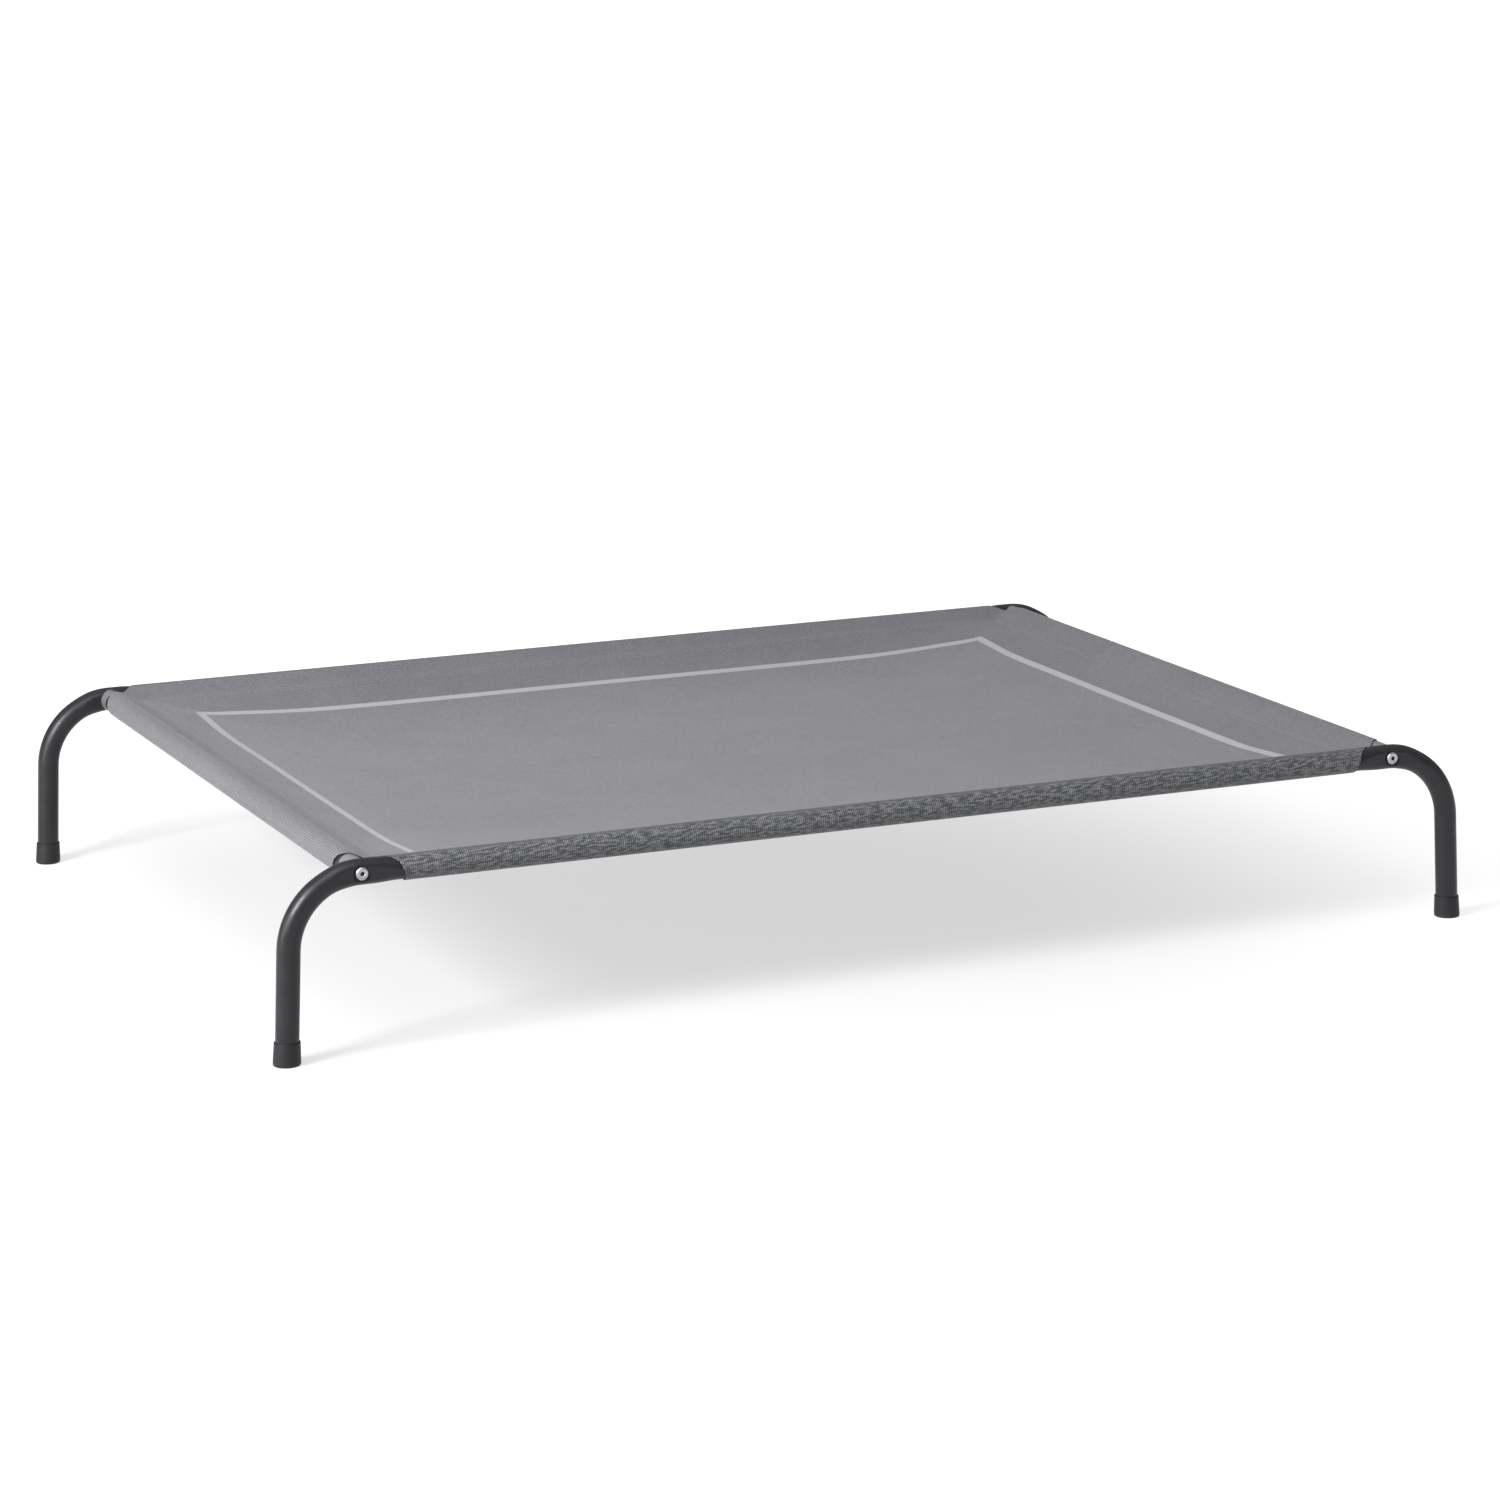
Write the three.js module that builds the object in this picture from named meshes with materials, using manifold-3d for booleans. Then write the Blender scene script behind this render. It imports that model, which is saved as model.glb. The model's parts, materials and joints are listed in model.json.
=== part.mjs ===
// A raised dog bed: a knock-down frame of bent steel tube that carries a sling of coated mesh cloth.
// Millimetres. X runs along the bed, Y runs across it from front to back and Z is up from the floor.
// The origin is the middle of the footprint, on the floor.

import * as THREE from 'three';
import { mergeVertices } from 'three/addons/utils/BufferGeometryUtils.js';
import Module from 'manifold-3d';

// Frame
const RAIL_HEIGHT = 178.5; // floor to the axis of every rail
const SHORT_RAIL_SPAN = 1118; // between the axes of the two short rails, which are the bolts' axes
const LONG_RAIL_SPAN = 865; // between the axes of the two long rails
const TUBE_RADIUS = 11.4;
const TUBE_WALL = 1.2;
const TUBE_SIDES = 16;
const GAP = 0.3; // clearance between pieces that touch

// Leg: a stub in line with the long rail, a bend and a foot end that leans outward
const LEG_REACH = 76.5; // bolt axis to the middle of the foot, along X
const LEG_LEAN = THREE.MathUtils.degToRad(2.7);
const BEND_RADIUS = 72;
const STUB_LENGTH = 120; // bolt axis to the inner end of the stub
const FOOT_FLOOR = 4; // rubber under the end of the tube

// Where the leg is pressed flat to seat the bolt and the saddle, measured along its centre line
const PRESS = { depth: 1.8, growth: 0.1, fadeIn: 37, flatIn: 13, flatOut: 12, fadeOut: 38 };

// Long rail: its ends are drawn down to plug into the stubs
const SPIGOT_LENGTH = 40;
const SPIGOT_RADIUS = TUBE_RADIUS - TUBE_WALL - GAP;

// Corner joint: an M6 bolt through the leg and the saddle into a captive nut inside the short rail
const BOLT_RADIUS = 3;
const BOLT_HOLE_RADIUS = 3.3;
const BOLT_HEAD = { radius: 6.3, height: 2.6, socketFlats: 4, socketDepth: 1.8 };
const SADDLE = { start: 3, shoulder: 28, end: 52, nutPocket: 6 };
const NUT = { flats: 10, thickness: 5 };

// Foot cap
const FOOT = { baseRadius: 13.4, topRadius: 12.8, height: 22.5, baseRound: 1.8, topRound: 0.5 };

// Sling: a deck of cloth with a sewn sleeve along each edge
const CLOTH = 0.8;
const SLEEVE_RADIUS = TUBE_RADIUS + 0.5; // the sleeves are a little loose on the rails
const HEM_APEX = 30; // rail axis to where the two layers of a sleeve meet
const HEM_END = 36; // rail axis to the cut edge of the hem
const CORNER_CUT = 30; // a corner is cut off where the distances from the two rail axes add up to this
const SAG = 32; // how far the middle of the deck hangs below the rails' axes
const SAG_POWER = 6.4; // a high power keeps the middle flat and puts the slope near the rails

const HALF_X = SHORT_RAIL_SPAN / 2;
const HALF_Y = LONG_RAIL_SPAN / 2;
const CORNERS = [
  { name: 'front_left', x: -1, y: -1 },
  { name: 'front_right', x: 1, y: -1 },
  { name: 'back_left', x: -1, y: 1 },
  { name: 'back_right', x: 1, y: 1 },
];

const powderCoat = new THREE.MeshStandardMaterial({ color: 0x36373b, roughness: 0.45, metalness: 0.2 });
const zinc = new THREE.MeshStandardMaterial({ color: 0xd4d6d8, roughness: 0.3, metalness: 1 });
const greyPlastic = new THREE.MeshStandardMaterial({ color: 0x9a9b9d, roughness: 0.6, metalness: 0 });
const rubber = new THREE.MeshStandardMaterial({ color: 0x2b2c2f, roughness: 0.8, metalness: 0 });
const meshCloth = new THREE.MeshStandardMaterial({ color: 0x8c8d90, roughness: 0.75, metalness: 0 });

const wasm = await Module();
wasm.setup();

// A closed geometry as a solid that can be joined and cut.
function toSolid(geometry) {
  const bare = geometry.clone();
  bare.deleteAttribute('normal');
  bare.deleteAttribute('uv');
  const merged = mergeVertices(bare, 1e-4);
  return new wasm.Manifold(new wasm.Mesh({
    numProp: 3,
    vertProperties: Float32Array.from(merged.attributes.position.array),
    triVerts: Uint32Array.from(merged.index.array),
  }));
}

function toGeometry(solid) {
  const mesh = solid.getMesh();
  const geometry = new THREE.BufferGeometry();
  geometry.setAttribute('position', new THREE.BufferAttribute(mesh.vertProperties, 3));
  geometry.setIndex(new THREE.BufferAttribute(mesh.triVerts, 1));
  return geometry;
}

// Moves every vertex of a geometry with a function that changes the point it is given.
function reshape(geometry, move) {
  const positions = geometry.attributes.position;
  const point = new THREE.Vector3();
  for (let i = 0; i < positions.count; i++) {
    move(point.fromBufferAttribute(positions, i));
    positions.setXYZ(i, point.x, point.y, point.z);
  }
  return geometry;
}

// A round body about the Y axis, from a closed outline of [radius, y] points that runs anticlockwise.
function turned(outline, sides, startAngle = 0) {
  const closed = [...outline, outline[0]].map(([r, y]) => new THREE.Vector2(r, y));
  return new THREE.LatheGeometry(closed, sides, startAngle);
}

function polygon(sides, radius, turn = 0) {
  const corners = Array.from({ length: sides }, (_, i) => {
    const angle = turn + (i / sides) * Math.PI * 2;
    return new THREE.Vector2(radius * Math.cos(angle), radius * Math.sin(angle));
  });
  return new THREE.Shape(corners);
}

// A prism along Y, from y = start to y = end.
function prismAlongY(shape, start, end) {
  const prism = new THREE.ExtrudeGeometry(shape, { depth: end - start, bevelEnabled: false });
  return prism.rotateX(-Math.PI / 2).translate(0, start, 0);
}

// A cylinder along Y, from y = start to y = end.
function rodAlongY(radius, start, end, sides = TUBE_SIDES) {
  return new THREE.CylinderGeometry(radius, radius, end - start, sides).translate(0, (start + end) / 2, 0);
}

// The ends and the steps of a range.
function evenly(start, end, steps) {
  return Array.from({ length: steps + 1 }, (_, i) => THREE.MathUtils.lerp(start, end, i / steps));
}

const hexagon = (flats) => polygon(6, flats / Math.sqrt(3));

// Leg, in its own frame: the bolt axis is at the origin, the stub runs to -X and the foot end goes down at +X

const BEND_ANGLE = Math.PI / 2 - LEG_LEAN;
const BEND_START = LEG_REACH - RAIL_HEIGHT * Math.tan(LEG_LEAN) - BEND_RADIUS * Math.tan(BEND_ANGLE / 2);
const TUBE_END_HEIGHT = FOOT_FLOOR + GAP + TUBE_RADIUS * Math.sin(LEG_LEAN);

// The leg's centre line, sampled at chosen distances from the bolt axis.
class LegLine extends THREE.Curve {
  constructor() {
    super();
    this.line = new THREE.Path();
    this.line.moveTo(-STUB_LENGTH, 0);
    this.line.lineTo(BEND_START, 0);
    this.line.absarc(BEND_START, -BEND_RADIUS, BEND_RADIUS, Math.PI / 2, LEG_LEAN, true);
    const drop = RAIL_HEIGHT - TUBE_END_HEIGHT;
    this.line.lineTo(LEG_REACH - TUBE_END_HEIGHT * Math.tan(LEG_LEAN), -drop);
    this.length = this.line.getLength();

    const pressed = evenly(-PRESS.fadeIn, BEND_START, 5);
    const bent = evenly(BEND_START, BEND_START + BEND_RADIUS * BEND_ANGLE, 10);
    this.stations = [-STUB_LENGTH, ...pressed, ...bent.slice(1), this.length - STUB_LENGTH];
  }

  get steps() {
    return this.stations.length - 1;
  }

  fraction(t) {
    const step = Math.min(Math.floor(t * this.steps + 1e-9), this.steps - 1);
    const station = THREE.MathUtils.lerp(this.stations[step], this.stations[step + 1], t * this.steps - step);
    return (station + STUB_LENGTH) / this.length;
  }

  getPoint(t) {
    const point = this.line.getPointAt(this.fraction(t));
    return new THREE.Vector3(point.x, 0, point.y);
  }

  getPointAt(t) {
    return this.getPoint(t);
  }

  getTangentAt(t) {
    const tangent = this.line.getTangentAt(this.fraction(t));
    return new THREE.Vector3(tangent.x, 0, tangent.y);
  }
}

// How far the leg is pressed, from 0 to 1, at a distance along its centre line from the bolt axis.
function pressAt(distance) {
  const { smoothstep } = THREE.MathUtils;
  const rise = smoothstep(distance, -PRESS.fadeIn, -PRESS.flatIn);
  return rise * (1 - smoothstep(distance, PRESS.flatOut, PRESS.fadeOut));
}

// Presses a round leg of any radius: its two sides are clamped flat and it grows a little taller.
function pressFlat(geometry) {
  return reshape(geometry, (point) => {
    const inBend = point.x > BEND_START;
    const angle = inBend ? Math.atan2(point.x - BEND_START, point.z + BEND_RADIUS) : 0;
    const reach = inBend ? Math.hypot(point.x - BEND_START, point.z + BEND_RADIUS) : point.z + BEND_RADIUS;
    const offset = reach - BEND_RADIUS;
    const press = pressAt(inBend ? BEND_START + BEND_RADIUS * angle : point.x);
    const halfDepth = Math.hypot(point.y, offset) - PRESS.depth * press;
    const pressedReach = BEND_RADIUS + offset * (1 + PRESS.growth * press);
    point.y = THREE.MathUtils.clamp(point.y, -halfDepth, halfDepth);
    if (inBend) point.x = BEND_START + pressedReach * Math.sin(angle);
    point.z = pressedReach * Math.cos(angle) - BEND_RADIUS;
  });
}

// The pressed leg as a bar, or as a tube where a bore is given.
function legBody(radius, boreRadius = 0) {
  const section = polygon(TUBE_SIDES, radius);
  if (boreRadius > 0) section.holes.push(polygon(TUBE_SIDES, boreRadius));
  const path = new LegLine();
  return pressFlat(new THREE.ExtrudeGeometry(section, { steps: path.steps, extrudePath: path }));
}

function makeLeg() {
  const tube = toSolid(legBody(TUBE_RADIUS, TUBE_RADIUS - TUBE_WALL));
  const drill = toSolid(rodAlongY(BOLT_HOLE_RADIUS, -2 * TUBE_RADIUS, 2 * TUBE_RADIUS));
  return toGeometry(tube.subtract(drill));
}

// Rails, about their own axis along Y

function makeLongRail() {
  const shoulder = HALF_X - STUB_LENGTH - GAP;
  const tip = shoulder + SPIGOT_LENGTH;
  const taper = 4;
  const outside = [
    [TUBE_RADIUS, shoulder],
    [SPIGOT_RADIUS, shoulder],
    [SPIGOT_RADIUS, tip],
  ];
  const bore = [
    [SPIGOT_RADIUS - TUBE_WALL, tip],
    [SPIGOT_RADIUS - TUBE_WALL, shoulder - taper],
    [TUBE_RADIUS - TUBE_WALL, shoulder - 2 * taper],
  ];
  const mirrored = (outline) => outline.map(([r, y]) => [r, -y]).reverse();
  return turned([...mirrored(outside), ...outside, ...bore, ...mirrored(bore)], TUBE_SIDES);
}

function makeShortRail() {
  const end = HALF_Y - SADDLE.shoulder - GAP;
  const bore = TUBE_RADIUS - TUBE_WALL;
  return turned([[TUBE_RADIUS, -end], [TUBE_RADIUS, end], [bore, end], [bore, -end]], TUBE_SIDES);
}

// Corner joint, in its own frame: the leg's axis crosses the origin and the short rail runs to +Y

// A plug in the end of the short rail, with a hollow cheek that fits the leg and a pocket for the nut.
function makeSaddle() {
  const barrelRadius = TUBE_RADIUS - TUBE_WALL - GAP;
  const plug = turned([
    [0, SADDLE.start],
    [TUBE_RADIUS, SADDLE.start],
    [TUBE_RADIUS, SADDLE.shoulder],
    [barrelRadius, SADDLE.shoulder],
    [barrelRadius, SADDLE.end],
    [0, SADDLE.end],
  ], TUBE_SIDES);
  const leg = toSolid(legBody(TUBE_RADIUS + GAP));
  const turnedLeg = leg.rotate([0, 0, 180]);
  const boltHole = toSolid(rodAlongY(BOLT_HOLE_RADIUS, 0, SADDLE.end + 1));
  const nutPocket = toSolid(prismAlongY(hexagon(NUT.flats + 2 * GAP), SADDLE.end - SADDLE.nutPocket, SADDLE.end + 1));
  return toGeometry(toSolid(plug).subtract(leg).subtract(turnedLeg).subtract(boltHole).subtract(nutPocket));
}

function makeNut() {
  const section = hexagon(NUT.flats);
  section.holes.push(polygon(TUBE_SIDES, BOLT_HOLE_RADIUS));
  const start = SADDLE.end - SADDLE.nutPocket + GAP;
  return prismAlongY(section, start, start + NUT.thickness);
}

// A low domed head with a hexagonal socket, on a plain shank that ends just past the nut.
function makeBolt() {
  const { radius, height, socketFlats, socketDepth } = BOLT_HEAD;
  const seat = -(TUBE_RADIUS - PRESS.depth + GAP);
  const face = seat - height;
  const rim = 0.7;
  const tip = SADDLE.end + 1;
  const body = turned([
    [0, face],
    [radius * 0.55, face],
    [radius - rim, face + rim],
    [radius, face + 2 * rim],
    [radius, seat],
    [BOLT_RADIUS, seat],
    [BOLT_RADIUS, tip - rim],
    [BOLT_RADIUS - rim, tip],
    [0, tip],
  ], TUBE_SIDES);
  const socket = toSolid(prismAlongY(hexagon(socketFlats), face - 1, face + socketDepth));
  return toGeometry(toSolid(body).subtract(socket));
}

// Foot cap, in its own frame: Z is up from the floor and the tube leans towards +X

function makeFoot() {
  const { baseRadius, topRadius, height, baseRound, topRound } = FOOT;
  const pocketRadius = TUBE_RADIUS + GAP;
  const cap = turned([
    [0, 0],
    [baseRadius - baseRound, 0],
    [baseRadius - baseRound * 0.3, baseRound * 0.3],
    [baseRadius, baseRound],
    [topRadius, height - topRound],
    [topRadius - topRound, height],
    [pocketRadius, height],
    [pocketRadius, FOOT_FLOOR],
    [0, FOOT_FLOOR],
  ], TUBE_SIDES).rotateX(Math.PI / 2);
  const lean = Math.tan(LEG_LEAN);
  return reshape(cap, (point) => {
    point.x -= point.z * lean;
  });
}

// Sling

// The outline of a sleeve: x is the distance outward from the rail's axis and y is the height above it.
// It goes round the rail at the given radius, and straight from there to the points of the hem.
function sleeveOutline(radius, hemLength, lowerHem, upperHem) {
  const touch = Math.PI - Math.acos(radius / hemLength);
  const aroundRail = new THREE.Path().absarc(0, 0, radius, -touch, touch, false).getPoints(8);
  return [...lowerHem, ...aroundRail, ...upperHem];
}

// A rectangular ring with mitred corners, from an outline placed on the rails' axes.
// Turning the outline in four steps gives a square ring, which is then drawn out to the bed's length.
function ringAlongRails(outline) {
  const ring = turned(outline.map(({ x, y }) => [(HALF_Y + x) * Math.SQRT2, y]), 4, Math.PI / 4);
  return toSolid(reshape(ring.rotateX(Math.PI / 2), (point) => {
    point.x += Math.sign(point.x) * (HALF_X - HALF_Y);
  }));
}

function sleeves() {
  const hemLayer = (height) => [new THREE.Vector2(-HEM_END, height), new THREE.Vector2(-HEM_APEX, height)];
  const apex = new THREE.Vector2(1 - HEM_APEX, 0);
  const outside = sleeveOutline(SLEEVE_RADIUS + CLOTH, HEM_APEX, hemLayer(-CLOTH), hemLayer(CLOTH).reverse());
  const hollow = sleeveOutline(SLEEVE_RADIUS, HEM_APEX - 1, [apex], []);
  return ringAlongRails(outside).subtract(ringAlongRails(hollow));
}

// The block that takes one corner off the cloth.
function cornerBlock({ x, y }) {
  const side = 100;
  const inset = CORNER_CUT / Math.SQRT2 - side / 2;
  const block = new THREE.BoxGeometry(side, side, side).translate(inset, 0, 0);
  return toSolid(block.rotateZ(Math.atan2(-y, -x)).translate(x * HALF_X, y * HALF_Y, 0));
}

function deck() {
  const across = HALF_X - (HEM_APEX + HEM_END) / 2;
  const along = HALF_Y - (HEM_APEX + HEM_END) / 2;
  const slab = new THREE.BoxGeometry(2, 2, CLOTH, 16, 14, 1);
  reshape(slab, (point) => {
    const u = Math.sin((point.x * Math.PI) / 2);
    const v = Math.sin((point.y * Math.PI) / 2);
    point.x = u * across;
    point.y = v * along;
    point.z -= SAG * (1 - Math.abs(u) ** SAG_POWER) * (1 - Math.abs(v) ** SAG_POWER);
  });
  return toSolid(slab);
}

function makeSling() {
  const cloth = sleeves().add(deck());
  return toGeometry(CORNERS.reduce((left, corner) => left.subtract(cornerBlock(corner)), cloth));
}

// Assembly

const bed = new THREE.Group();

function place(name, geometry, material, x, y, z, turn = 0) {
  const mesh = new THREE.Mesh(geometry, material);
  mesh.name = name;
  mesh.position.set(x, y, z);
  mesh.rotation.z = turn;
  bed.add(mesh);
}

const leg = makeLeg();
const foot = makeFoot();
const saddle = makeSaddle();
const nut = makeNut();
const bolt = makeBolt();

for (const { name, x, y } of CORNERS) {
  const outward = x > 0 ? 0 : Math.PI;
  const inward = y < 0 ? 0 : Math.PI;
  place(`leg_${name}`, leg, powderCoat, x * HALF_X, y * HALF_Y, RAIL_HEIGHT, outward);
  place(`foot_${name}`, foot, rubber, x * (HALF_X + LEG_REACH), y * HALF_Y, 0, outward);
  place(`saddle_${name}`, saddle, greyPlastic, x * HALF_X, y * HALF_Y, RAIL_HEIGHT, inward);
  place(`nut_${name}`, nut, zinc, x * HALF_X, y * HALF_Y, RAIL_HEIGHT, inward);
  place(`bolt_${name}`, bolt, zinc, x * HALF_X, y * HALF_Y, RAIL_HEIGHT, inward);
}

const longRail = makeLongRail();
const shortRail = makeShortRail();
place('long_rail_front', longRail, powderCoat, 0, -HALF_Y, RAIL_HEIGHT, Math.PI / 2);
place('long_rail_back', longRail, powderCoat, 0, HALF_Y, RAIL_HEIGHT, Math.PI / 2);
place('short_rail_left', shortRail, powderCoat, -HALF_X, 0, RAIL_HEIGHT);
place('short_rail_right', shortRail, powderCoat, HALF_X, 0, RAIL_HEIGHT);
place('sling', makeSling(), meshCloth, 0, 0, RAIL_HEIGHT);

export default bed;
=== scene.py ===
"""The looks of a raised dog bed: a stretched mesh sling on a frame of bent, powder-coated tube.

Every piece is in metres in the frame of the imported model. Pieces that repeat at the four corners are
described once, in a corner frame: a is the distance outward along the bed from the bolt's axis, b the
distance outward across it from the long rail's axis, and c the height above the rails' axes.
"""
import json
import math

import bmesh
import bpy
from mathutils import Matrix, Vector, noise


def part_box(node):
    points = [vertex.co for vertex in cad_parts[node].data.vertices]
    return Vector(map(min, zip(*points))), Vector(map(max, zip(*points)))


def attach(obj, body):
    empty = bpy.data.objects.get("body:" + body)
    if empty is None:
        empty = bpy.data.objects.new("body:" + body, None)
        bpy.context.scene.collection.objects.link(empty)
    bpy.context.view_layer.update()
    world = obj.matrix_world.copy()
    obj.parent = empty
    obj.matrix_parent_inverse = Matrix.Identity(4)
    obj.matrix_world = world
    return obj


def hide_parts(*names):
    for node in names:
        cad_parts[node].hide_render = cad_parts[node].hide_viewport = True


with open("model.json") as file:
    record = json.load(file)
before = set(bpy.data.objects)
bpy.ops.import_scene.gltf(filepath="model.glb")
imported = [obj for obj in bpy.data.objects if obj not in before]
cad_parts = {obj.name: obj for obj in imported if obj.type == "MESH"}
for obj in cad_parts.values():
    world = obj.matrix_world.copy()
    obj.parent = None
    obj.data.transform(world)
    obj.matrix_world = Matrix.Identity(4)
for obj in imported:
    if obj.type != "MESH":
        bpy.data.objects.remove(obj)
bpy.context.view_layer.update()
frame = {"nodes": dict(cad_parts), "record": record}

MM = 0.001
BODY = "root"
SHARP_ANGLE = math.radians(38)  # edges that turn more than this are shown sharp


def centre(node):
    low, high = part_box(node)
    return (low + high) / 2


def extent(node):
    low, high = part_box(node)
    return high - low


# Driving dimensions, from the frame
HALF_X = centre("short_rail_right").x
HALF_Y = centre("long_rail_back").y
RAIL_Z = centre("long_rail_back").z
TUBE_RADIUS = extent("short_rail_right").z / 2
TUBE_WALL = 1.2 * MM
TUBE_BORE = TUBE_RADIUS - TUBE_WALL
FOOT_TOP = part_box("foot_front_right")[1].z
FOOT_RADIUS = extent("foot_front_right").y / 2
LEG_REACH = max(mount["pos_m"][0] for mount in frame["record"]["mounts"]) - HALF_X
CORNERS = {"front_left": (-1, -1), "front_right": (1, -1), "back_left": (-1, 1), "back_right": (1, 1)}

# Leg: stub, bend and foot end along one centre line, pressed flat round the bolt
LEG_LEAN = math.radians(2.7)
BEND_RADIUS = 72 * MM
BEND_ANGLE = math.pi / 2 - LEG_LEAN
BEND_START = LEG_REACH - RAIL_Z * math.tan(LEG_LEAN) - BEND_RADIUS * math.tan(BEND_ANGLE / 2)
BEND_END = BEND_START + BEND_RADIUS * BEND_ANGLE
STUB_LENGTH = 120 * MM
LEG_END_HEIGHT = 4.9 * MM  # from the floor to the end of the tube, inside the foot
PRESS_DEPTH = 1.8 * MM
PRESS_GROWTH = 0.1  # how much taller the tube is where it is pressed, as a share
PRESS_ROUND = 0.9 * MM  # how softly the pressed sides meet the rest of the tube
PRESS_RANGE = (-37 * MM, -13 * MM, 12 * MM, 38 * MM)  # where it starts, is full, eases off and ends
DIMPLE = {"flat": 7.2 * MM, "rim": 9.2 * MM, "depth": 1.5 * MM}  # the seat of the bolt's head

# Corner joint. The seat and the head are measured outward from the leg's middle, and the rest inward from it
HEAD_RADIUS = extent("bolt_front_right").z / 2
HEAD_HEIGHT = 2.6 * MM
HEAD_SEAT = TUBE_RADIUS - PRESS_DEPTH - DIMPLE["depth"]
SOCKET_RADIUS = 2.3 * MM
SOCKET_DEPTH = 2.2 * MM
SHANK_RADIUS = 3.0 * MM
THREAD_ROOT = 2.6 * MM
THREAD_PITCH = 1 * MM
BOLT_HOLE = 3.3 * MM
SADDLE_SHOULDER = 28 * MM
SADDLE_END = 52 * MM
THREAD_START = 30 * MM
SHANK_END = SADDLE_END + 1 * MM

# Sling
CLOTH = 0.8 * MM
SLEEVE_RADIUS = TUBE_RADIUS + 0.9 * MM  # middle of the cloth's thickness, round a rail
HEM_APEX = 30 * MM  # from a rail's axis to where the two layers of a sleeve meet
HEM_END = 38 * MM  # from a rail's axis to the cut edge of the hem
HEM_LAP = 1.1 * MM  # the hem's lower layer hangs this far under the deck
STITCH_INSETS = (31.5 * MM, 35 * MM)  # from a rail's axis to the two rows of stitches
SAG = 32 * MM
SAG_POWER = 6.4  # a high power keeps the middle flat and puts the slope near the rails
WARP_PITCH = 2.1 * MM
WEFT_PITCH = 1.8 * MM
STRIPE_INSET = 81 * MM
STRIPE_WIDTH = 9.5 * MM
UV_OFFSET = 1.0  # added to the flat cloth's coordinates, which keeps them above zero

# Camera, in front of the bed and to its left
CAMERA_PLACE = (-1.8305, -4.2837, 1.1994)
CAMERA_YAW = math.radians(-23.46)
CAMERA_PITCH = math.radians(-12.666)
CAMERA_ROLL = math.radians(-0.533)
CAMERA_LENS = 106.83


def smoothstep(value, start, end):
    t = min(max((value - start) / (end - start), 0.0), 1.0)
    return t * t * (3 - 2 * t)


def smooth_max(p, q, blend):
    """The larger of two heights, rounded off where they are within blend of each other."""
    h = max(blend - abs(p - q), 0.0) / blend
    return max(p, q) + h * h * blend / 4


def soft_limit(value, limit, blend):
    """value held below limit, with a rounded turn."""
    return -smooth_max(-value, -limit, blend)


def evenly(start, end, step):
    """The ends and the even steps of a range, no longer than step."""
    count = max(1, math.ceil(abs(end - start) / step - 1e-6))
    return [start + (end - start) * i / count for i in range(count + 1)]


# ---------------------------------------------------------------- mesh helpers

def add_piece(name, verts, faces, material):
    """A mesh object in the frame of the model, riding on the frame's one body."""
    mesh = bpy.data.meshes.new(name)
    mesh.from_pydata([tuple(v) for v in verts], [], faces)
    mesh.validate()
    outward = bmesh.new()
    outward.from_mesh(mesh)
    bmesh.ops.recalc_face_normals(outward, faces=outward.faces)
    outward.to_mesh(mesh)
    outward.free()
    mesh.materials.append(material)
    mesh.shade_smooth()
    mesh.set_sharp_from_angle(angle=SHARP_ANGLE)
    piece = bpy.data.objects.new(name, mesh)
    bpy.context.scene.collection.objects.link(piece)
    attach(piece, BODY)
    return piece


def skin_rings(rings, closed):
    """Vertices and faces of a skin over rings of points. closed joins the last ring to the first;
    otherwise the two end rings are capped."""
    size = len(rings[0])
    verts = [point for ring in rings for point in ring]
    pairs = list(zip(range(len(rings)), range(1, len(rings))))
    if closed:
        pairs.append((len(rings) - 1, 0))
    faces = []
    for row, above in pairs:
        for k in range(size):
            after = (k + 1) % size
            faces.append((row * size + k, row * size + after, above * size + after, above * size + k))
    if not closed:
        faces.append(tuple(reversed(range(size))))
        faces.append(tuple((len(rings) - 1) * size + k for k in range(size)))
    return verts, faces


def at_corner(corner, points):
    """Points of the corner frame as points of the model."""
    x, y = CORNERS[corner]
    return [Vector((x * (HALF_X + a), y * (HALF_Y + b), RAIL_Z + c)) for a, b, c in points]


def circle(count, radius=1.0):
    """Points round a circle. radius is a number, or a function of the angle."""
    points = []
    for k in range(count):
        angle = 2 * math.pi * k / count
        r = radius(angle) if callable(radius) else radius
        points.append((r * math.cos(angle), r * math.sin(angle)))
    return points


def rounded(profile, radius, steps=4):
    """An outline of (radius, height) points with every corner between its ends rounded off."""
    points = [Vector(p) for p in profile]
    result = [points[0]]
    for before, corner, after in zip(points, points[1:], points[2:]):
        reach = min(radius, (before - corner).length / 2, (after - corner).length / 2)
        start = corner + (before - corner).normalized() * reach
        end = corner + (after - corner).normalized() * reach
        for i in range(steps + 1):
            t = i / steps
            result.append(start.lerp(corner, t).lerp(corner.lerp(end, t), t))
    return result + [points[-1]]


# ---------------------------------------------------------------- leg tubes

def leg_line(s):
    """The point (a, c) of a leg's centre line at distance s from the bolt's axis, and its turn downward."""
    turn = min(max((s - BEND_START) / BEND_RADIUS, 0.0), BEND_ANGLE)
    straight = s - BEND_END if turn == BEND_ANGLE else min(s - BEND_START, 0.0)
    a = BEND_START + BEND_RADIUS * math.sin(turn) + straight * math.cos(turn)
    c = BEND_RADIUS * (math.cos(turn) - 1) - straight * math.sin(turn)
    return a, c, turn


def leg_length():
    """Distance along the centre line from the bolt's axis to the end in the foot."""
    _, height_after_bend, _ = leg_line(BEND_END)
    straight = (RAIL_Z + height_after_bend - LEG_END_HEIGHT) / math.cos(LEG_LEAN)
    return BEND_END + straight


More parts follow.
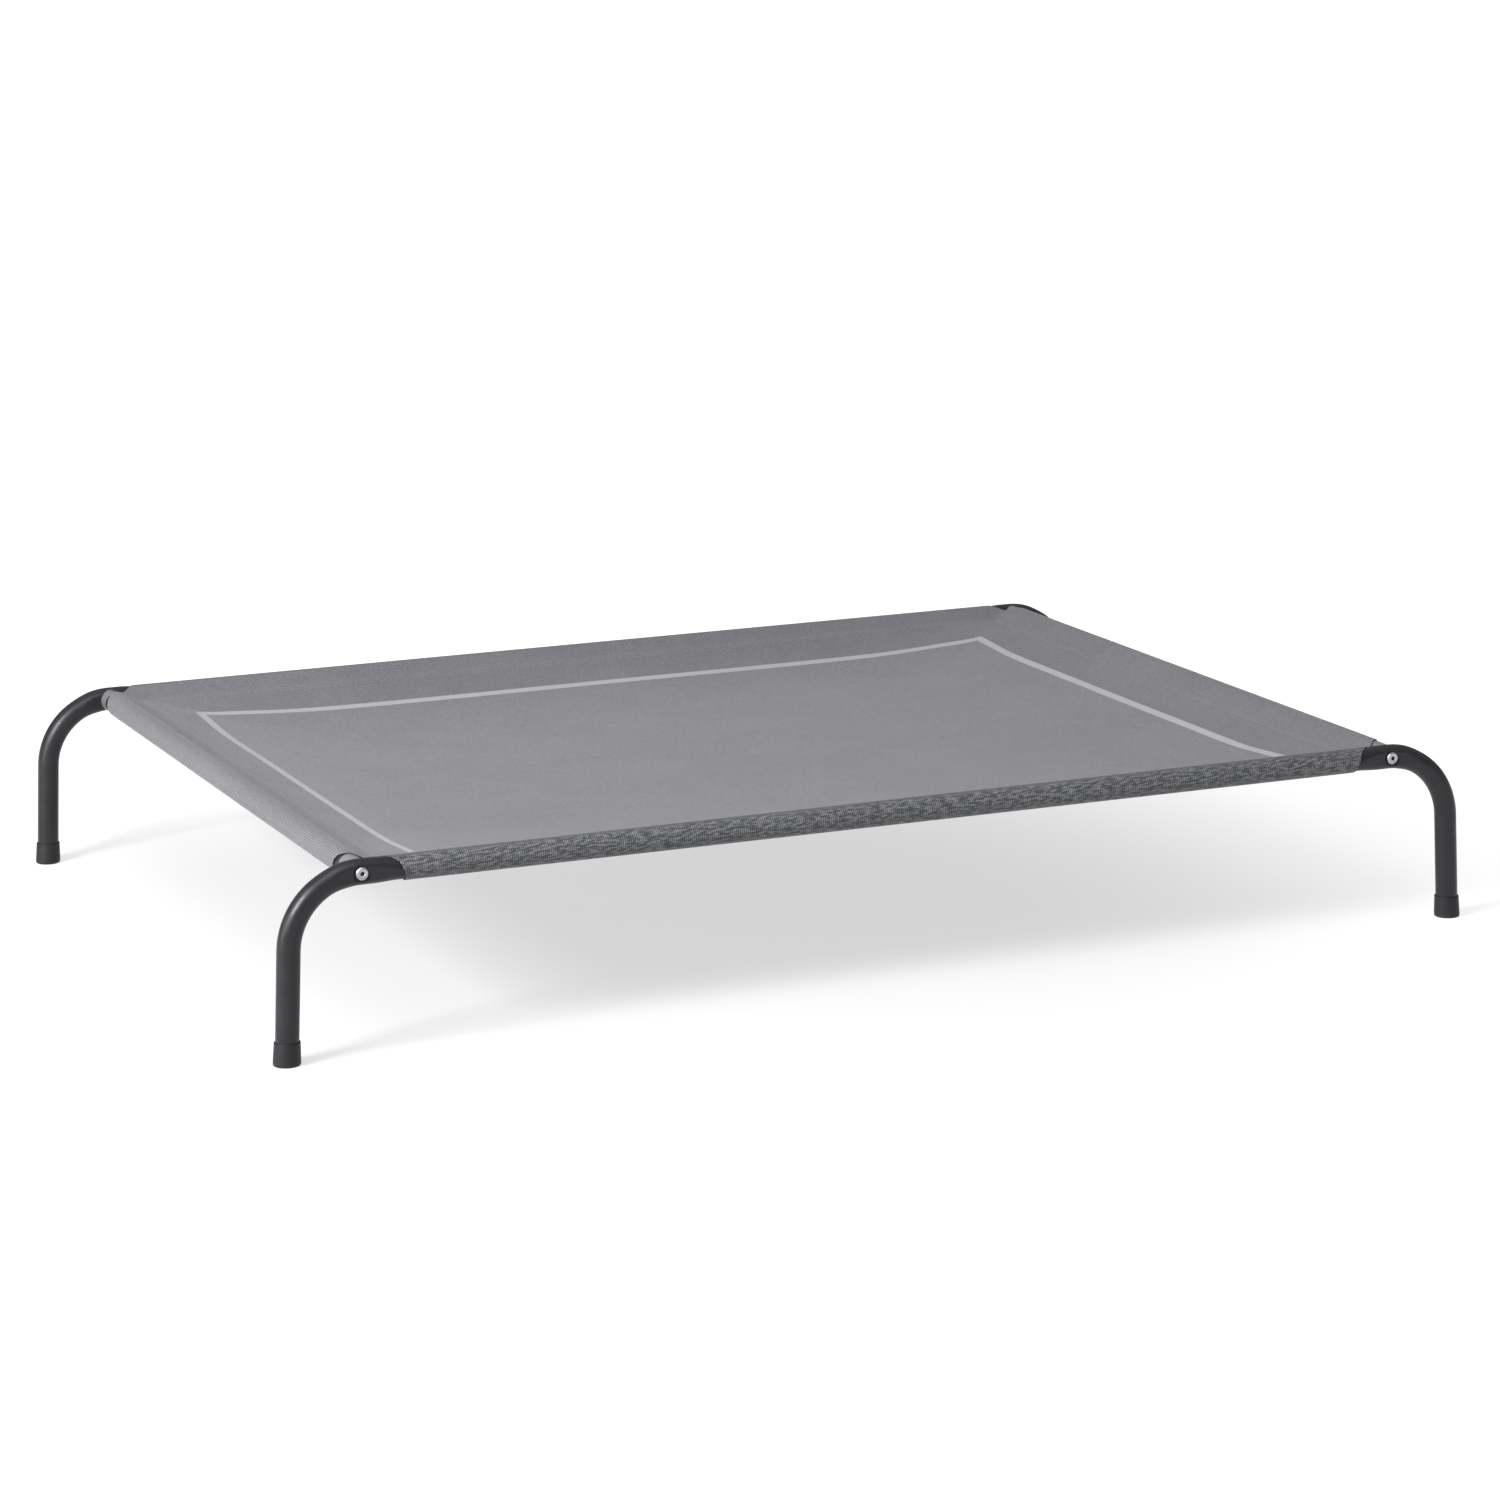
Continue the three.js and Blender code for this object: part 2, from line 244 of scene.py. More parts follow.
def press_at(s):
    """How fully the leg is pressed at s, from 0 to 1."""
    fade_in, flat_in, flat_out, fade_out = PRESS_RANGE
    return smoothstep(s, fade_in, flat_in) * (1 - smoothstep(s, flat_out, fade_out))


def leg_section(s, radius, sides):
    """A ring of the leg's surface at s, in the corner frame."""
    a, c, turn = leg_line(s)
    press = press_at(s)
    ring = []
    for cosine, sine in circle(sides):
        up = radius * cosine * (1 + PRESS_GROWTH * press)
        across = radius * abs(sine)
        if press > 0:
            across = soft_limit(across, radius - PRESS_DEPTH * press, PRESS_ROUND * press)
        across = math.copysign(across, sine)
        point_a = a + up * math.sin(turn)
        point_c = c + up * math.cos(turn)
        if sine > 0:
            from_bolt = math.hypot(point_a, point_c)
            across -= DIMPLE["depth"] * (1 - smoothstep(from_bolt, DIMPLE["flat"], DIMPLE["rim"]))
        ring.append((point_a, across, point_c))
    return ring


def leg_stations():
    """Where the leg's rings lie along its centre line: closest together round the bolt's dimple."""
    dimple = 11 * MM
    stretches = (
        (PRESS_RANGE[0], 20 * MM), (-dimple, 3 * MM), (dimple, 0.8 * MM),
        (BEND_END, 2.5 * MM), (leg_length(), 12 * MM),
    )
    stations = [-STUB_LENGTH]
    for end, step in stretches:
        stations += evenly(stations[-1], end, step)[1:]
    return stations


def make_leg(corner, material):
    """A bent tube with a wall, pressed flat and dimpled where the bolt's head sits."""
    sides = 96
    stations = leg_stations()
    outside = [leg_section(s, TUBE_RADIUS, sides) for s in stations]
    inside = [leg_section(s, TUBE_BORE, sides) for s in reversed(stations)]
    verts, faces = skin_rings([at_corner(corner, ring) for ring in outside + inside], closed=True)
    leg = add_piece(f"leg_tube_{corner}", verts, faces, material)
    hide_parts(f"leg_{corner}")


# ---------------------------------------------------------------- rails inside the sleeves

def make_rail(name, node, start, end, material):
    """A straight tube between two points, open at both ends."""
    sides = 48
    edge = 0.3 * MM
    up = Vector((0, 0, 1))
    along = (end - start).normalized()
    side = along.cross(up)

    def ring(point, radius):
        return [point + side * p + up * q for p, q in circle(sides, radius)]

    rings = [
        ring(start + along * edge, TUBE_RADIUS), ring(end - along * edge, TUBE_RADIUS),
        ring(end, TUBE_RADIUS - edge), ring(end, TUBE_BORE),
        ring(start, TUBE_BORE), ring(start, TUBE_RADIUS - edge),
    ]
    verts, faces = skin_rings(rings, closed=True)
    rail = add_piece(name, verts, faces, material)
    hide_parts(node)


# ---------------------------------------------------------------- corner joint

def leg_depth(a, c):
    """How far the pressed leg's surface stands from its middle plane at a point beside the bolt."""
    height = min(abs(c) / (1 + PRESS_GROWTH), TUBE_RADIUS)
    return min(math.sqrt(TUBE_RADIUS ** 2 - height ** 2), TUBE_RADIUS - PRESS_DEPTH)


def make_saddle(corner, material):
    """A plug in a short rail's end. It has a shoulder as wide as the rail, and a cheek that fits the leg."""
    sides = 64
    gap = 0.35 * MM
    shallowest = 4.5 * MM
    outer = TUBE_RADIUS - 0.05 * MM
    plug = TUBE_BORE - 0.3 * MM
    chamfer = 1 * MM

    def cheek(radius, lift=0.0):
        return [(p, -max(leg_depth(p, q) + gap + lift, shallowest), q) for p, q in circle(sides, radius)]

    def ring(radius, depth):
        return [(p, -depth, q) for p, q in circle(sides, radius)]

    rings = [
        cheek(BOLT_HOLE), cheek(6 * MM), cheek(outer - 0.8 * MM), cheek(outer - 0.2 * MM, 0.2 * MM),
        cheek(outer, 0.8 * MM), ring(outer, SADDLE_SHOULDER / 2), ring(outer, SADDLE_SHOULDER),
        ring(plug, SADDLE_SHOULDER), ring(plug, SADDLE_END - chamfer), ring(plug - chamfer, SADDLE_END),
        ring(BOLT_HOLE, SADDLE_END),
    ]
    verts, faces = skin_rings([at_corner(corner, points) for points in rings], closed=True)
    saddle = add_piece(f"saddle_plug_{corner}", verts, faces, material)
    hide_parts(f"saddle_{corner}")


def hexagonal(across):
    """A radius that follows a hexagon as the angle goes round."""
    def radius(angle):
        return across * math.cos(math.pi / 6) / math.cos(angle % (math.pi / 3) - math.pi / 6)
    return radius


def bolt_outline():
    """(radius, depth) of the bolt's rings, from the bottom of the socket to the tip."""
    face = HEAD_SEAT + HEAD_HEIGHT
    recess = face - 0.3 * MM
    underside = HEAD_SEAT + 0.1 * MM
    socket = hexagonal(SOCKET_RADIUS)
    outline = [(socket, face - SOCKET_DEPTH), (socket, face - 0.5 * MM)]
    outline += [(hexagonal(SOCKET_RADIUS + 0.25 * MM), recess)]
    outline += rounded([
        (3.1 * MM, recess), (4.1 * MM, recess), (4.6 * MM, face), (HEAD_RADIUS - 1.1 * MM, face - 0.05 * MM),
        (HEAD_RADIUS, face - 1.2 * MM), (HEAD_RADIUS, underside), (SHANK_RADIUS, underside),
    ], radius=0.5 * MM)
    outline += [(SHANK_RADIUS, -THREAD_START)]
    for i in range(round((SHANK_END - THREAD_START) / THREAD_PITCH)):
        outline += [(THREAD_ROOT, -THREAD_START - (i + 0.5) * THREAD_PITCH)]
        outline += [(SHANK_RADIUS, -THREAD_START - (i + 1) * THREAD_PITCH)]
    return outline + [(2.2 * MM, -SHANK_END)]


def make_bolt(corner, material, painted_socket_shade):
    """A low domed head with a ringed face and a hexagonal socket, and a shank threaded as far as the nut."""
    sides = 72
    rings = [[(p, depth, q) for p, q in circle(sides, radius)] for radius, depth in bolt_outline()]
    verts, faces = skin_rings([at_corner(corner, points) for points in rings], closed=False)
    bolt = add_piece(f"bolt_head_{corner}", verts, faces, material)
    # The socket's walls and bottom get painted shade for the recess.
    bolt.data.materials.append(painted_socket_shade)
    socket_walls = bolt.data.polygons[:sides]
    socket_bottom = bolt.data.polygons[-2]
    for face in (*socket_walls, socket_bottom):
        face.material_index = 1
    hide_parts(f"bolt_{corner}")


def make_foot(corner, material):
    """A moulded cap: flared sides, a rounded base with a ring of tread, and a thin lip round the tube."""
    sides = 72
    middle = 0.4 * MM
    hollow = 1.4 * MM
    pocket = TUBE_RADIUS + 0.3 * MM
    pocket_floor = 4 * MM
    lip = pocket + 1.0 * MM
    outline = rounded([
        (middle, hollow), (6.4 * MM, hollow), (7.0 * MM, 0.0), (FOOT_RADIUS - 0.2 * MM, 0.0),
        (FOOT_RADIUS, 3.0 * MM), (lip, FOOT_TOP - 2.4 * MM), (lip - 0.15 * MM, FOOT_TOP - 1.9 * MM),
        (lip, FOOT_TOP - 1.4 * MM), (lip - 0.05 * MM, FOOT_TOP), (pocket, FOOT_TOP),
        (pocket, pocket_floor), (middle, pocket_floor),
    ], radius=1.7 * MM, steps=5)
    lean = math.tan(LEG_LEAN)
    rings = [[(LEG_REACH + p - height * lean, q, height - RAIL_Z) for p, q in circle(sides, radius)]
             for radius, height in outline]
    verts, faces = skin_rings([at_corner(corner, points) for points in rings], closed=True)
    foot = add_piece(f"foot_cap_{corner}", verts, faces, material)
    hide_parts(f"foot_{corner}")


# ---------------------------------------------------------------- sling

HEM_LEAVE = math.acos(SLEEVE_RADIUS / HEM_APEX)  # where the cloth leaves the rail, up from level
SLOPE_LENGTH = math.sqrt(HEM_APEX ** 2 - SLEEVE_RADIUS ** 2)
TOP_ARC = SLEEVE_RADIUS * (math.pi / 2 - HEM_LEAVE)
WRAP_ARC = SLEEVE_RADIUS * (math.pi - HEM_LEAVE + math.pi / 2)
INNER_FLAT = TOP_ARC + SLOPE_LENGTH  # cloth from the top of a rail to the line where the sleeve closes
FLAP = WRAP_ARC + SLOPE_LENGTH + HEM_END - HEM_APEX  # cloth from the top of a rail to its cut edge
DECK_X = HALF_X - HEM_APEX
DECK_Y = HALF_Y - HEM_APEX
FLAT_X = DECK_X + INNER_FLAT  # half of the flat cloth between the tops of the rails
FLAT_Y = DECK_Y + INNER_FLAT
NOTCH = 43 * MM  # how far the corners are cut back along the rails
# Rows of (slope, reach). A corner is cut away where p + slope * q < reach and q + slope * p < reach for every
# row. p and q are the distances inward over the flat cloth from the tops of the corner's two rails.
CORNER_CUTS = ((1.0, 29 * MM), (0.4, 35.5 * MM), (0.08, NOTCH))


def wrap(s):
    """Where the cloth lies round a rail: its distance outward and height from the rail's axis, at distance s
    outward over the cloth from the top of the rail."""
    if s < -TOP_ARC:
        t = min((-s - TOP_ARC) / SLOPE_LENGTH, 1.0)
        inward = -s - INNER_FLAT if s < -INNER_FLAT else 0.0
        start = Vector((-SLEEVE_RADIUS * math.cos(HEM_LEAVE), SLEEVE_RADIUS * math.sin(HEM_LEAVE)))
        point = start.lerp(Vector((-HEM_APEX, 0.0)), t)
        return point.x - inward, point.y
    if s <= WRAP_ARC:
        angle = s / SLEEVE_RADIUS
        return SLEEVE_RADIUS * math.sin(angle), SLEEVE_RADIUS * math.cos(angle)
    t = (s - WRAP_ARC) / SLOPE_LENGTH
    start = Vector((-SLEEVE_RADIUS * math.cos(HEM_LEAVE), -SLEEVE_RADIUS * math.sin(HEM_LEAVE)))
    point = start.lerp(Vector((-HEM_APEX, -HEM_LAP)), min(t, 1.0))
    return point.x - max(t - 1.0, 0.0) * SLOPE_LENGTH, point.y


def sag(x, y):
    """How far the deck hangs down at a point."""
    u = min(abs(x) / DECK_X, 1.0)
    v = min(abs(y) / DECK_Y, 1.0)
    return SAG * (1 - u ** SAG_POWER) * (1 - v ** SAG_POWER)


def ripple(x, y):
    """Small waves in the stretched cloth: shallow folds that fan from the corners, and slow unevenness."""
    to_corner = Vector((HALF_X - abs(x), HALF_Y - abs(y)))
    fan = math.atan2(to_corner.y, to_corner.x)
    reach = to_corner.length
    fade = smoothstep(reach, 20 * MM, 90 * MM) * (1 - smoothstep(reach, 120 * MM, 420 * MM))
    waves_per_radian, waves_per_metre, height = 15, 5, 0.5 * MM
    folds = height * math.sin(fan * waves_per_radian) * fade
    slow = height * noise.noise(Vector((x * waves_per_metre, y * waves_per_metre, 0.3)))
    return folds + slow


def cloth_point(fx, fy):
    """Where a point of the flat cloth lies on the bed."""
    out_x, high_x = wrap(abs(fx) - FLAT_X)
    out_y, high_y = wrap(abs(fy) - FLAT_Y)
    x = math.copysign(HALF_X + out_x, fx)
    y = math.copysign(HALF_Y + out_y, fy)
    over_x = abs(fx) > FLAT_X
    over_y = abs(fy) > FLAT_Y
    if over_x or over_y:
        height = high_x if over_x else high_y
    else:
        height = smooth_max(high_x, high_y, 3 * MM)
    slack = smoothstep(min(-out_x, -out_y), 14 * MM, 60 * MM) * ripple(x, y)
    return Vector((x, y, RAIL_Z + height - sag(x, y) + slack))


def cloth_lines(half, flap_end):
    """Grid lines of the flat cloth in one direction, close together round the rails and wide on the deck."""
    wide, close = 9 * MM, 2.2 * MM
    near = half - INNER_FLAT - 12 * MM
    marks = [near, half - INNER_FLAT, half - TOP_ARC, half, half + WRAP_ARC, half + WRAP_ARC + SLOPE_LENGTH,
             flap_end]
    lines = evenly(0.0, near, wide)
    for start, end in zip(marks, marks[1:]):
        lines += evenly(start, end, close)[1:]
    return [-line for line in reversed(lines[1:])] + lines


def inward(face, side_x, side_y):
    """A face's distances inward over the flat cloth from the tops of a corner's two rails."""
    middle = face.calc_center_median()
    return FLAT_X - middle.x * side_x, FLAT_Y - middle.y * side_y


def cut_corner(flat, side_x, side_y):
    """Cuts one corner away: the edges of the cut are drawn first, and the faces inside it then go."""
    block_size = 60 * MM
    cuts = [(1.0, slope, reach) for slope, reach in CORNER_CUTS]
    cuts += [(slope, 1.0, reach) for slope, reach in CORNER_CUTS[1:]]
    for share_p, share_q, reach in cuts:
        block = [f for f in flat.faces if max(inward(f, side_x, side_y)) < block_size]
        parts = block + list({e for f in block for e in f.edges}) + list({v for f in block for v in f.verts})
        on_cut = Vector((side_x * (FLAT_X - reach / share_p), side_y * FLAT_Y, 0))
        across_cut = (side_x * share_p, side_y * share_q, 0)
        bmesh.ops.bisect_plane(flat, geom=parts, plane_co=on_cut, plane_no=across_cut)
    gone = []
    for face in flat.faces:
        p, q = inward(face, side_x, side_y)
        if all(share_p * p + share_q * q < reach for share_p, share_q, reach in cuts):
            gone.append(face)
    bmesh.ops.delete(flat, geom=gone, context="FACES")


def flat_cloth():
    """The cut cloth laid flat, with its four corners cut away."""
    xs = cloth_lines(FLAT_X, FLAT_X + FLAP)
    ys = cloth_lines(FLAT_Y, FLAT_Y + FLAP)
    flat = bmesh.new()
    grid = [[flat.verts.new((x, y, 0)) for y in ys] for x in xs]
    for column, after in zip(grid, grid[1:]):
        for j in range(len(ys) - 1):
            flat.faces.new((column[j], after[j], after[j + 1], column[j + 1]))
    for side_x, side_y in CORNERS.values():
        cut_corner(flat, side_x, side_y)
    return flat


def make_sling(material):
    """Cloth cut flat and then wrapped round the rails. It keeps its flat coordinates for the weave."""
    cloth = flat_cloth()
    weave = cloth.loops.layers.uv.new("flat_cloth")
    flat_area = sum(face.calc_area() for face in cloth.faces)
    for face in cloth.faces:
        for loop in face.loops:
            loop[weave].uv = (loop.vert.co.x + UV_OFFSET, loop.vert.co.y + UV_OFFSET)
    for vert in cloth.verts:
        vert.co = cloth_point(vert.co.x, vert.co.y)
    mesh = bpy.data.meshes.new("sling_cloth")
    cloth.to_mesh(mesh)
    cloth.free()
    mesh.materials.append(material)
    mesh.shade_smooth()
    piece = bpy.data.objects.new("sling_cloth", mesh)
    bpy.context.scene.collection.objects.link(piece)
    thickness = piece.modifiers.new("cloth_thickness", "SOLIDIFY")
    thickness.thickness = CLOTH
    thickness.offset = 0
    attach(piece, BODY)
    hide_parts("sling")
    return piece, flat_area


def stitch_rings(start, end, above):
    """Rings of one stitch: a short thread that dips into the cloth at both ends."""
    radius = 0.32 * MM
    along = (end - start).normalized()
    side = along.cross(Vector((0, 0, 1))).normalized()
    up = side.cross(along)
    out = up if above else -up
    sections = ((0, 0.25, -0.7), (0.15, 0.9, 0), (0.5, 1, 0.25), (0.85, 0.9, 0), (1, 0.25, -0.7))
    rings = []
    for share, thick, lift in sections:
        middle = start.lerp(end, share) + out * lift * radius
        rings.append([middle + side * p * thick + up * q * thick for p, q in circle(6, radius)])
    return rings


def make_stitches(name, inset, above, material):
    """One row of stitches round the hem, at a distance inward from the rails' axes."""
    length, gap = 3.1 * MM, 1.1 * MM
    half_x, half_y = HALF_X - inset, HALF_Y - inset
    short = 0 if above else NOTCH + 8 * MM - inset  # the hem's lower layer stops short of the corners
    verts, faces = [], []

    def on_cloth(point):
        lift = CLOTH / 2 if above else -HEM_LAP - CLOTH / 2
        return Vector((*point, cloth_point(*point).z + lift))

    turns = ((-1, -1), (1, -1), (1, 1), (-1, 1))
    corners = [Vector((x * half_x, y * half_y)) for x, y in turns]
    for start, end in zip(corners, corners[1:] + corners[:1]):
        along = (end - start).normalized()
        start, end = start + along * short, end - along * short
        count = int((end - start).length / (length + gap))
        half_stitch = length / (length + gap) / 2
        for i in range(count):
            first = start.lerp(end, (i + 0.5 - half_stitch) / count)
            last = start.lerp(end, (i + 0.5 + half_stitch) / count)
            rings = stitch_rings(on_cloth(first), on_cloth(last), above)
            stitch_verts, stitch_faces = skin_rings(rings, closed=False)
            faces += [tuple(len(verts) + k for k in face) for face in stitch_faces]
            verts += stitch_verts
    return add_piece(name, verts, faces, material)


# ---------------------------------------------------------------- materials

class Shader:
    """A new material with one Principled shader, and short ways to add nodes to it."""

    def __init__(self, name, **settings):
        self.material = bpy.data.materials.new(name)
        self.material.use_nodes = True
        self.tree = self.material.node_tree
        self.surface = self.tree.nodes["Principled BSDF"]
        for socket, value in settings.items():
            self.surface.inputs[socket.replace("_", " ").title().replace("Ior", "IOR")].default_value = value

    def add(self, kind, inputs=(), **settings):
        """A node with its settings. inputs are sockets or values, in order or by name."""
        node = self.tree.nodes.new(kind)
        for name, value in settings.items():
            setattr(node, name, value)
        pairs = inputs.items() if isinstance(inputs, dict) else enumerate(inputs)
        for key, value in pairs:
            if isinstance(value, bpy.types.NodeSocket):
                self.tree.links.new(value, node.inputs[key])
            else:
                node.inputs[key].default_value = value
        return node

    def link(self, output, socket):
        self.tree.links.new(output, self.surface.inputs[socket])

    def math(self, operation, *values):
        return self.add("ShaderNodeMath", values, operation=operation).outputs[0]

    def step(self, value, start, end, low=0.0, high=1.0):
        """low to high, smoothly, as value goes from start to end."""
        inputs = (value, start, end, low, high)
        return self.add("ShaderNodeMapRange", inputs, interpolation_type="SMOOTHSTEP").outputs[0]

    def blend(self, share, first, second):
        """A colour between two, by share."""
        node = self.add("ShaderNodeMix", {0: share, 6: first, 7: second}, data_type="RGBA")
        return node.outputs[2]

    def position(self):
        return self.add("ShaderNodeTexCoord").outputs["Object"]

    def noise(self, where, scale, detail=2.0, roughness=0.5):
        inputs = {"Vector": where, "Scale": scale, "Detail": detail, "Roughness": roughness}
        return self.add("ShaderNodeTexNoise", inputs).outputs[0]

    def stretch(self, where, factors):
        return self.add("ShaderNodeVectorMath", (where, factors), operation="MULTIPLY").outputs[0]

    def bump(self, *layers):
        """Bump of several (height, distance in metres) layers."""
        normal = None
        for height, distance in layers:
            inputs = {"Height": height, "Distance": distance}
            if normal is not None:
                inputs["Normal"] = normal
            normal = self.add("ShaderNodeBump", inputs).outputs[0]
        self.link(normal, "Normal")


def grey(red, green, blue):
    """Linear colour of an sRGB one, given as three numbers up to 255."""
    def linear(value):
        value /= 255
        return value / 12.92 if value <= 0.04045 else ((value + 0.055) / 1.055) ** 2.4
    return (linear(red), linear(green), linear(blue), 1.0)


def past(cloth, value, edge):
    """How far a place on the flat cloth is past an edge, on either side of the middle."""
    return cloth.math("SUBTRACT", cloth.math("ABSOLUTE", value), edge)


def yarns(cloth, value, pitch):
    """Yarns side by side: a wave that turns over from yarn to yarn, their round backs and their numbers."""
    wave = cloth.math("COSINE", cloth.math("MULTIPLY", value, math.pi / pitch))
    number = cloth.math("ROUND", cloth.math("DIVIDE", value, pitch))
    return wave, cloth.math("ABSOLUTE", wave), number


def plain_weave(cloth, flat_x, flat_y, ribbed):
    """Colour, height and gaps of the weave. Where ribbed is 1, the warp yarns show as ribs."""
    warp_wave, warp_round, warp_number = yarns(cloth, flat_x, WARP_PITCH)
    weft_wave, weft_round, weft_number = yarns(cloth, flat_y, WEFT_PITCH)
    over = cloth.math("MULTIPLY", cloth.math("MULTIPLY", warp_wave, weft_wave), 0.45)
    warp_height = cloth.math("ADD", cloth.math("MULTIPLY", warp_round, 0.55), over)
    weft_height = cloth.math("SUBTRACT", cloth.math("MULTIPLY", weft_round, 0.55), over)
    height = cloth.math("MAXIMUM", warp_height, weft_height)

    crossing = cloth.add("ShaderNodeCombineXYZ", (warp_number, weft_number)).outputs[0]
    shade = cloth.add("ShaderNodeTexWhiteNoise", (crossing,), noise_dimensions="2D").outputs["Value"]
    warp = cloth.blend(shade, grey(120, 119, 124), grey(134, 133, 139))
    weft = cloth.blend(shade, grey(88, 88, 92), grey(102, 102, 107))
    warp_on_top = cloth.step(cloth.math("SUBTRACT", warp_height, weft_height), -0.06, 0.06)
    warp_shown = cloth.math("MAXIMUM", warp_on_top, cloth.math("MULTIPLY", ribbed, 0.75))
    colour = cloth.blend(warp_shown, weft, warp)

    open_warp = cloth.step(warp_round, 0.25, 0.65, 1.0, 0.0)
    open_weft = cloth.step(weft_round, 0.2, 0.6, 1.0, 0.35)
    open_weft = cloth.math("MAXIMUM", open_weft, cloth.math("MULTIPLY", ribbed, 0.8))
    return colour, height, cloth.math("MULTIPLY", open_warp, open_weft)


def add_border(cloth, flat_x, flat_y, colour):
    """The pale printed border line, and painted shade that darkens the cloth outside it."""
    edge = 0.3 * MM
    line_x = past(cloth, flat_x, HALF_X - STRIPE_INSET)
    line_y = past(cloth, flat_y, HALF_Y - STRIPE_INSET)
    past_line = cloth.math("MAXIMUM", line_x, line_y)
    # Painted shade: the cloth outside the line is darkened for the shade on the sloping border.
    outside = cloth.step(past_line, 0.0, 4 * MM, 0.0, 0.16)
    colour = cloth.blend(outside, colour, grey(40, 41, 44))
    from_line = cloth.math("ABSOLUTE", past_line)
    line = cloth.step(from_line, STRIPE_WIDTH / 2 - edge, STRIPE_WIDTH / 2 + edge, 0.9, 0.0)
    return cloth.blend(line, colour, grey(168, 167, 172))


def slanting_dashes(cloth, flat_x, flat_y):
    """Noise drawn out into short dashes, at a slant to the long rails. The factors are scales per metre."""
    dash_x = cloth.math("ADD", cloth.math("MULTIPLY", flat_x, 95), cloth.math("MULTIPLY", flat_y, 80))
    dash_y = cloth.math("SUBTRACT", cloth.math("MULTIPLY", flat_y, 450), cloth.math("MULTIPLY", flat_x, 60))
    where = cloth.add("ShaderNodeCombineXYZ", (dash_x, dash_y)).outputs[0]
    return cloth.noise(where, 1.0, 2.0, 0.65)


def mesh_material():
    """Woven mesh of coated yarns, with a pale printed border line. The weave closes up as it is seen more
    edge on, which the sheen stands for, and opens in dashes on the outside of the long sleeves."""
    cloth = Shader("woven_mesh", sheen_weight=0.16, sheen_roughness=0.35, specular_ior_level=0.3)
    flat = cloth.add("ShaderNodeUVMap", uv_map="flat_cloth").outputs[0]
    split = cloth.add("ShaderNodeSeparateXYZ", (flat,)).outputs
    flat_x = cloth.math("SUBTRACT", split[0], UV_OFFSET)
    flat_y = cloth.math("SUBTRACT", split[1], UV_OFFSET)
    past_long_rail = past(cloth, flat_y, FLAT_Y)
    past_short_rail = past(cloth, flat_x, FLAT_X)
    long_sleeve = cloth.step(past_long_rail, -TOP_ARC, -TOP_ARC + 6 * MM)
    sleeve = cloth.step(cloth.math("MAXIMUM", past_long_rail, past_short_rail), -INNER_FLAT, -TOP_ARC)

    colour, height, gap = plain_weave(cloth, flat_x, flat_y, ribbed=long_sleeve)
    colour = add_border(cloth, flat_x, flat_y, colour)
    wear = cloth.noise(cloth.position(), 9, 4.0, 0.6)
    colour = cloth.blend(cloth.step(wear, 0.35, 0.75, 0.0, 0.06), colour, grey(160, 159, 162))

    dashes = slanting_dashes(cloth, flat_x, flat_y)
    top_line = cloth.step(past_long_rail, 2 * MM, 6 * MM, 0.6, 0.0)
    opened = cloth.math("MAXIMUM", top_line, cloth.step(dashes, 0.4, 0.58, 0.0, 0.8))
    colour = cloth.blend(cloth.math("MULTIPLY", long_sleeve, opened), colour, grey(46, 53, 51))
    # Painted shade in the gaps: on the deck a grey that stands for the shaded floor under the bed, and on the
    # sleeves the dark tube inside them.
    painted_gap_shade = cloth.blend(sleeve, grey(56, 56, 60), grey(26, 28, 28))
    colour = cloth.blend(cloth.math("MULTIPLY", gap, 0.95), colour, painted_gap_shade)

    cloth.link(colour, "Base Color")
    cloth.link(cloth.step(cloth.math("ADD", height, wear), 0.4, 1.5, 0.78, 0.55), "Roughness")
    cloth.bump((height, 0.35 * MM), (dashes, 0.1 * MM))
    return cloth.material


def thread_material():
    """Twisted polyester thread."""
    thread = Shader("sewing_thread", sheen_weight=0.2, sheen_roughness=0.4)
    position = thread.position()
    twist = thread.add("ShaderNodeTexWave", {"Vector": position, "Scale": 1500.0, "Distortion": 0.6},
                       bands_direction="DIAGONAL").outputs[1]
    thread.link(thread.blend(twist, grey(92, 92, 96), grey(124, 124, 129)), "Base Color")
    thread.link(thread.step(twist, 0, 1, 0.75, 0.5), "Roughness")
    thread.bump((twist, 0.08 * MM))
    return thread.material


def tube_material():
    """Satin black powder coat with fine orange peel, and a little dust and handling wear."""
    tube = Shader("powder_coat", ior=1.5, specular_ior_level=0.34)
    position = tube.position()
    peel = tube.noise(position, 650, 2.0)
    specks = tube.noise(position, 2600, 1.0)
    dust = tube.noise(position, 24, 5.0, 0.65)
    rubbed = tube.noise(tube.stretch(position, (40.0, 40.0, 260.0)), 1.0, 4.0, 0.7)
    colour = tube.blend(tube.step(dust, 0.35, 0.75, 0.0, 0.4), grey(24, 24, 28), grey(40, 40, 46))
    colour = tube.blend(tube.step(specks, 0.62, 0.8, 0.0, 0.25), colour, grey(74, 74, 80))
    tube.link(colour, "Base Color")
    tube.link(tube.step(tube.math("ADD", dust, rubbed), 0.75, 1.3, 0.34, 0.46), "Roughness")
    tube.bump((peel, 0.04 * MM), (specks, 0.01 * MM))
    return tube.material


def plastic_material():
    """Mid-grey moulded plastic, with a fine spark-eroded grain."""
    plastic = Shader("moulded_plastic", ior=1.46)
    position = plastic.position()
    grain = plastic.noise(position, 1800, 2.0)
    flow = plastic.noise(plastic.stretch(position, (30.0, 90.0, 30.0)), 1.0, 3.0)
    plastic.link(plastic.blend(flow, grey(92, 92, 95), grey(114, 114, 118)), "Base Color")
    plastic.link(plastic.step(grain, 0.3, 0.7, 0.3, 0.45), "Roughness")
    plastic.bump((grain, 0.03 * MM))
    return plastic.material


